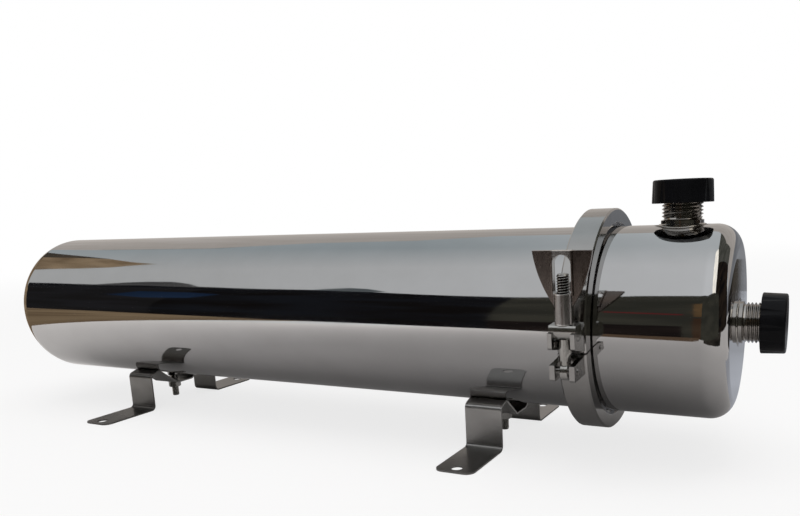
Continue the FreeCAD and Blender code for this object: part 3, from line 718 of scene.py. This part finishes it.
def make_fibres(mats):
    """Loose strands of hollow fibre inside the bundle's outline."""
    rng = random.Random(20)
    stations = 26
    bm = bmesh.new()
    for _ in range(STRAND_COUNT):
        share = math.sqrt(rng.uniform(0.02, 1.0)) * 0.955
        angle = rng.uniform(0, TAU)
        twist = rng.uniform(-0.5, 0.5)
        sway = rng.uniform(0, TAU)
        reach = rng.uniform(0.94, 1.0)
        rings = []
        for i in range(stations + 1):
            t = i / stations * reach
            drift = angle + twist * t + 0.05 * math.sin(9 * t + sway)
            r = (bundle_radius(t) - BUNDLE_MARGIN) * share * (1 - 0.04 * math.sin(7 * t + sway) ** 2)
            centre = Vector((r * math.cos(drift), r * math.sin(drift), BUNDLE_X - t * BUNDLE_LENGTH))
            rings.append([bm.verts.new(centre + Vector((x, y, 0))) for x, y in polygon(STRAND_R, 5)])
        capped_skin(bm, rings)
    strands = finished_mesh("fibre_strands", bm, TUBE, 80)
    add_piece("fibre_strands", strands, "hollow_fibre", mats["fibre"], "fibre_bundle")


def make_label(mats):
    """Blank pill-shaped plate on the cartridge's collar."""
    bm = bmesh.new()
    front, back = [], []
    for x, y in polygon(LABEL_END_R, 48):
        t = (y + (LABEL_HALF_RUN if y > 0 else -LABEL_HALF_RUN)) / LABEL_SEAT_R
        for r, row in ((LABEL_SEAT_R, back), (LABEL_SEAT_R + LABEL_THICKNESS, front)):
            row.append(bm.verts.new((LABEL_X + x, -r * math.cos(t), r * math.sin(t))))
    capped_skin(bm, [back, front])
    plate = finished_mesh("collar_label", bm, SCALE @ Matrix.Translation((0, 0, AXIS_Z)))
    add_piece("collar_label", plate, "cream_plastic", mats["label"])


# Pieces that come from the solids

def dress_nodes(mats):
    """Gives each visible CAD node its finish."""
    finishes = {
        "cast": ("clamp_upper", "clamp_lower"),
        "pin": ("hinge_pin", "hinge_clip", "swing_bolt_pin"),
        "bolt": ("nut_saddle", "drain_plug", "washer_left", "washer_right", "nut_left", "nut_right"),
        "wing": ("wing_nut",),
        "cap": ("top_port_cap", "end_port_cap"),
        "rubber": ("top_cap_seal", "end_cap_seal", "drain_oring", "ferrule_gasket", "collar_oring_front",
                   "collar_oring_rear"),
        "shaded_strip_left": ("bracket_left",),
        "lit_strip_right": ("bracket_right",),
        "cream": ("membrane_collar",),
        "resin": ("potting_disc",)}
    for finish, names in finishes.items():
        for name in names:
            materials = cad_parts[name].data.materials
            materials.clear()
            materials.append(mats[finish])


# Studio

def shown_rays(tree, camera=1.0, mirrors=1.0):
    """How much of the background itself a ray sees: from the camera, a mirror or through glass."""
    path = add_node(tree, "LightPath").outputs
    total = 0.0
    for ray, share in (("Is Camera Ray", camera), ("Is Glossy Ray", mirrors),
                       ("Is Transmission Ray", mirrors)):
        total = maths(tree, "MULTIPLY_ADD", path[ray], share, total)
    return total


def mix_shaders(tree, factor, first, second, output):
    """Joins two shaders by a factor, for a material's or the world's output."""
    mix = add_node(tree, "MixShader")
    feed(mix, 0, factor)
    feed(mix, 1, first.outputs[0])
    feed(mix, 2, second.outputs[0])
    feed(output, "Surface", mix.outputs[0])


def floor_material():
    """Pale matt floor that takes the object's shadow, and turns white towards the horizon; in mirrors it has
    painted shadow near the object and under the head, and is painted lighter towards the left.
    """
    material, tree, bsdf = new_material("floor")
    feed(bsdf, "Roughness", 0.9)
    feed(bsdf, "Specular IOR Level", 0.0)
    glow = add_node(tree, "Emission")
    feed(glow, "Color", (*WHITE, 1))
    here = object_place(tree)
    reach = distance(tree, here)
    # In mirrors the floor is painted darker near the object as painted shadow, and lighter towards the left
    painted_mirror_floor = blend(tree, spread(tree, reach, 0.0, 1.0, 0.12, 0.52),
                     (0.40, 0.385, 0.38), (0.80, 0.765, 0.74))
    painted_mirror_floor = dimmed(tree, painted_mirror_floor, spread(tree, axes(tree, here)["X"], 1.38, 0.78, -0.22, 0.23))
    # Painted shadow under the head, seen in mirrors
    head_shadow_reach = distance(tree, here, (0.22, 0.01, 0))
    painted_mirror_floor = dimmed(tree, painted_mirror_floor, spread(tree, head_shadow_reach, 0.55, 1.0, 0.02, 0.13))
    in_mirror = add_node(tree, "LightPath").outputs["Is Glossy Ray"]
    feed(bsdf, "Base Color", blend(tree, in_mirror, (0.78, 0.76, 0.75), painted_mirror_floor))
    part = add_node(tree, "Mix")
    feed(part, "Factor", spread(tree, reach, 0.0, 1.0, 0.4, 2.2, interpolation_type="SMOOTHSTEP"))
    feed(part, "A", shown_rays(tree, 0.76, 0.04))
    feed(part, "B", shown_rays(tree))
    mix_shaders(tree, part.outputs["Result"], bsdf, glow, tree.nodes["Material Output"])
    return material


def card_material(name, first, second):
    """Blotched colours of a card that only mirrors see."""
    material, tree, bsdf = new_material(name)
    tree.nodes.remove(bsdf)
    glow = add_node(tree, "Emission")
    blotches = spread(tree, noise(tree, (0.004, 0.004, 0.012), 3.0), 0.0, 1.0, 0.38, 0.62)
    feed(glow, "Color", blend(tree, blotches, first, second))
    feed(tree.nodes["Material Output"], "Surface", glow.outputs[0])
    return material


def stage_sheet(name, corners, material):
    """Flat sheet of the stage through the corners, in millimetres."""
    mesh = bpy.data.meshes.new(name)
    mesh.from_pydata([[c * MM for c in p] for p in corners], [], [list(range(len(corners)))])
    mesh.materials.append(material)
    obj = bpy.data.objects.new(name, mesh)
    bpy.context.scene.collection.objects.link(obj)
    return obj


def card(name, corners, first, second):
    """Card beside the filter, outside the picture, which the polished steel mirrors."""
    obj = stage_sheet(name, corners, card_material(name, first, second))
    obj.visible_camera = False
    obj.visible_diffuse = False
    obj.visible_shadow = False


def facing_y(y, points):
    """Corners of an upright sheet along X, from (x, z) points."""
    return [(x, y, z) for x, z in points]


def facing_x(x, points):
    """Corners of an upright sheet along Y, from (y, z) points."""
    return [(x, y, z) for y, z in points]


def level(z, points):
    """Corners of a level sheet, from (x, y) points."""
    return [(x, y, z) for x, y in points]


def slanted(forward, points):
    """Corners of an upright sheet slanted past the head, from (x, z) points, brought forward a little."""
    return [(x, FRONT_Y + (x - SLANT_FROM_X) * SLANT + forward, z) for x, z in points]


def make_stage():
    """Floor, and the cards for the yard, hills, buildings and a painted shadow on the ground, that the steel
    mirrors.
    """
    far = 9000
    stage_sheet("floor", level(-0.05, ((-far, -far), (far, -far), (far, far), (-far, far))), floor_material())

    # In front, left of the clamp
    card("front_card", facing_y(FRONT_Y, (
        (-1500, 60), (-900, 50), (-420, 12), (-60, 2), (-60, 388), (-145, 393), (-213, 406), (-311, 435),
        (-416, 459), (-541, 461), (-615, 473), (-700, 488), (-771, 559), (-853, 613), (-916, 605),
        (-955, 575), (-985, 508), (-1047, 520), (-1159, 538), (-1500, 560))),
         (0.0085, 0.0075, 0.0075), (0.013, 0.0145, 0.0185))
    card("yard_card", facing_y(FRONT_Y + 3, (
        (-1480, 70), (-650, 35), (-650, 440), (-1150, 480), (-1480, 520))),
         (0.016, 0.0155, 0.016), (0.022, 0.022, 0.025))
    card("hill_card", facing_y(FRONT_Y + 6, (
        (-1047, 520), (-985, 508), (-955, 575), (-916, 605), (-853, 613), (-771, 559), (-700, 488),
        (-620, 474), (-700, 470), (-780, 487), (-850, 500), (-930, 490), (-1000, 485), (-1047, 500))),
         (0.085, 0.085, 0.087), (0.115, 0.115, 0.116))
    card("hill_card_right", facing_y(FRONT_Y + 6, (
        (-430, 450), (-398, 484), (-377, 505), (-335, 491), (-277, 437), (-300, 428))),
         (0.105, 0.125, 0.135), (0.15, 0.17, 0.18))
    card("blue_card", facing_y(FRONT_Y + 6, (
        (-800, 300), (-765, 372), (-640, 366), (-560, 338), (-600, 272), (-700, 262))),
         (0.012, 0.026, 0.058), (0.018, 0.035, 0.075))

    # In front, right of the clamp
    card("front_card_right", slanted(0, (
        (-60, 2), (760, 2), (760, 330), (556, 335), (386, 320), (182, 376), (122, 384), (71, 377),
        (-60, 388))),
         (0.040, 0.040, 0.033), (0.062, 0.060, 0.048))
    card("front_card_low", slanted(2, ((-60, 2), (192, 2), (192, 95), (-60, 95))),
         (0.011, 0.009, 0.009), (0.024, 0.018, 0.016))
    card("box_card", slanted(3, ((202, 170), (246, 167), (246, 277), (195, 285))),
         (0.13, 0.080, 0.040), (0.19, 0.120, 0.060))
    card("box_card_low", slanted(3, ((203, 2), (246, 2), (246, 156), (202, 160))),
         (0.060, 0.034, 0.021), (0.085, 0.056, 0.036))
    card("red_card", slanted(3, ((100, 201), (190, 182), (190, 190), (100, 209))),
         (0.14, 0.015, 0.02), (0.20, 0.03, 0.03))
    card("kerb_card", slanted(4, ((60, 2), (215, 2), (215, 12), (60, 6))), *KERB)
    card("kerb_ground", level(1, ((60, -472), (215, -406), (215, -325), (60, -395))), *KERB)
    # Painted shadow on the ground in front to the right, as a dark sheet
    card("painted_shadow_ground_right", level(1, (
        (302, -305), (420, -700), (900, -700), (900, -60), (520, -60), (430, -200))), BLACK, OLIVE)

    # To the left
    card("ground_left", level(1, ((-3000, -2500), (-385, -2500), (-385, 600), (-3000, 600))),
         BROWN, (0.34, 0.25, 0.155))
    card("tower_card", facing_x(LEFT_X, (
        (-700, 2), (320, 2), (320, 560), (201, 740), (105, 840), (0, 928), (-128, 993), (-191, 1044),
        (-269, 894), (-272, 812), (-262, 741), (-300, 400), (-700, 380))), BROWN, TAN)
    card("tower_edge", facing_x(LEFT_X + 3, (
        (60, 560), (320, 560), (201, 740), (105, 840), (0, 928), (40, 850), (65, 745))), UMBER, OLIVE)

    # Behind
    card("back_card", facing_y(BACK_Y, (
        (-2500, 2), (1500, 2), (1500, 870), (-319, 870), (-656, 1150), (-987, 1189), (-1887, 1736),
        (-2500, 1700))), (0.54, 0.50, 0.46), (0.60, 0.56, 0.53))
    card("roof_card", facing_y(BACK_Y - 3, (
        (-2453, 1645), (-1887, 1736), (-1400, 1440), (-1887, 1790), (-2453, 1730))),
         (0.30, 0.32, 0.32), (0.34, 0.37, 0.37))
    card("back_card_right", facing_y(BACK_Y - 20, ((250, 1), (1500, 1), (1500, 260), (250, 260))),
         (0.20, 0.21, 0.23), (0.26, 0.27, 0.29))
    card("back_post", facing_y(BACK_Y - 25, ((347, 1), (1200, 1), (1200, 130), (640, 84), (347, 48))),
         BLACK, OLIVE)
    card("back_ground", level(1.4, ((313, 400), (900, 400), (900, 738), (347, 738))), BLACK, OLIVE)
    card("back_ground_pale", level(1, ((245, 60), (420, 60), (380, 400), (352, 760), (262, 760))),
         (0.36, 0.375, 0.41), (0.46, 0.48, 0.53))

    # To the right
    card("right_card", facing_x(RIGHT_X, (
        (-536, 2), (366, 2), (366, 75), (300, 254), (400, 404), (-21, 1001), (-313, 678), (-536, 325))),
         BLACK, (0.030, 0.022, 0.016))
    card("bright_card", facing_x(RIGHT_X + 5, (
        (-760, 420), (-430, 420), (-313, 678), (-21, 1001), (447, 1515), (250, 1900), (-330, 1400),
        (-640, 900))), (1.9, 1.82, 1.62), (1.5, 1.46, 1.36))
    card("right_card_top", facing_x(RIGHT_X, (
        (400, 404), (760, 534), (2840, 800), (5000, 3800), (447, 1515), (-21, 1001))),
         (0.08, 0.082, 0.07), (0.13, 0.13, 0.115))


def make_world():
    """White for the camera, a soft sky for mirrors, and for the rest a light that is strongest overhead."""
    world = bpy.data.worlds.new("studio")
    bpy.context.scene.world = world
    world.use_nodes = True
    world.cycles.sampling_method = "NONE"
    tree = world.node_tree
    tree.nodes.clear()
    way = axes(tree, add_node(tree, "TexCoord").outputs["Generated"])
    front_sky = blend(tree, spread(tree, way["X"], 0.0, 1.0, -0.95, 0.1),
                      (0.64, 0.655, 0.66), (0.94, 0.97, 1.0))
    back_sky = blend(tree, spread(tree, way["X"], 0.0, 1.0, -0.5, -0.15),
                     (0.46, 0.52, 0.55), (0.72, 0.77, 0.80))
    sky = blend(tree, spread(tree, way["Y"], 0.0, 1.0, -0.25, 0.28), front_sky, back_sky)
    shown = add_node(tree, "Background")
    feed(shown, "Color", blend(tree, add_node(tree, "LightPath").outputs["Is Camera Ray"], sky, WHITE))
    lit = add_node(tree, "Background")
    feed(lit, "Color", (0.97, 0.985, 1.0, 1))
    feed(lit, "Strength", spread(tree, way["Z"], 0.12, 0.92, 0.0, 1.0))
    mix_shaders(tree, shown_rays(tree), lit, shown, add_node(tree, "OutputWorld"))


def lamp(name, place, aim, size, watts):
    """Area lamp at a place in millimetres, turned towards another, which mirrors don't show."""
    data = bpy.data.lights.new(name, "AREA")
    data.shape = "RECTANGLE"
    data.size, data.size_y = size
    data.energy = watts
    obj = bpy.data.objects.new(name, data)
    bpy.context.scene.collection.objects.link(obj)
    obj.location = Vector(place) * MM
    obj.rotation_euler = (Vector(aim) * MM - Vector(place) * MM).to_track_quat("-Z", "Y").to_euler()
    obj.visible_glossy = False


def make_camera():
    """Camera at the photograph's view."""
    data = bpy.data.cameras.new("camera")
    data.sensor_width = 36.0
    data.lens = CAMERA_LENS
    data.shift_x, data.shift_y = CAMERA_SHIFT
    data.clip_start = 0.01
    data.clip_end = 50
    camera = bpy.data.objects.new("camera", data)
    bpy.context.scene.collection.objects.link(camera)
    forward = Vector((-math.sin(CAMERA_YAW) * math.cos(CAMERA_PITCH),
                      math.cos(CAMERA_YAW) * math.cos(CAMERA_PITCH), -math.sin(CAMERA_PITCH)))
    right = Vector((math.cos(CAMERA_YAW), math.sin(CAMERA_YAW), 0))
    up = right.cross(forward)
    turned_right = right * math.cos(CAMERA_ROLL) + up * math.sin(CAMERA_ROLL)
    turned_up = up * math.cos(CAMERA_ROLL) - right * math.sin(CAMERA_ROLL)
    turn = Matrix((turned_right, turned_up, -forward)).transposed()
    camera.matrix_world = Matrix.Translation(Vector(CAMERA_PLACE) * MM) @ turn.to_4x4()
    bpy.context.scene.camera = camera


mats = make_materials()
dress_nodes(mats)
make_housing(mats)
make_head(mats)
make_swing_bolt(mats)
make_fibres(mats)
make_label(mats)
make_stage()
make_world()
lamp("overhead", (200, -100, 1900), (0, 0, 80), (1.8, 1.2), 16)
lamp("front_fill", (900, -1500, 900), (0, 0, 80), (1.2, 1.2), 7)
make_camera()
bpy.context.scene.view_settings.view_transform = "Standard"
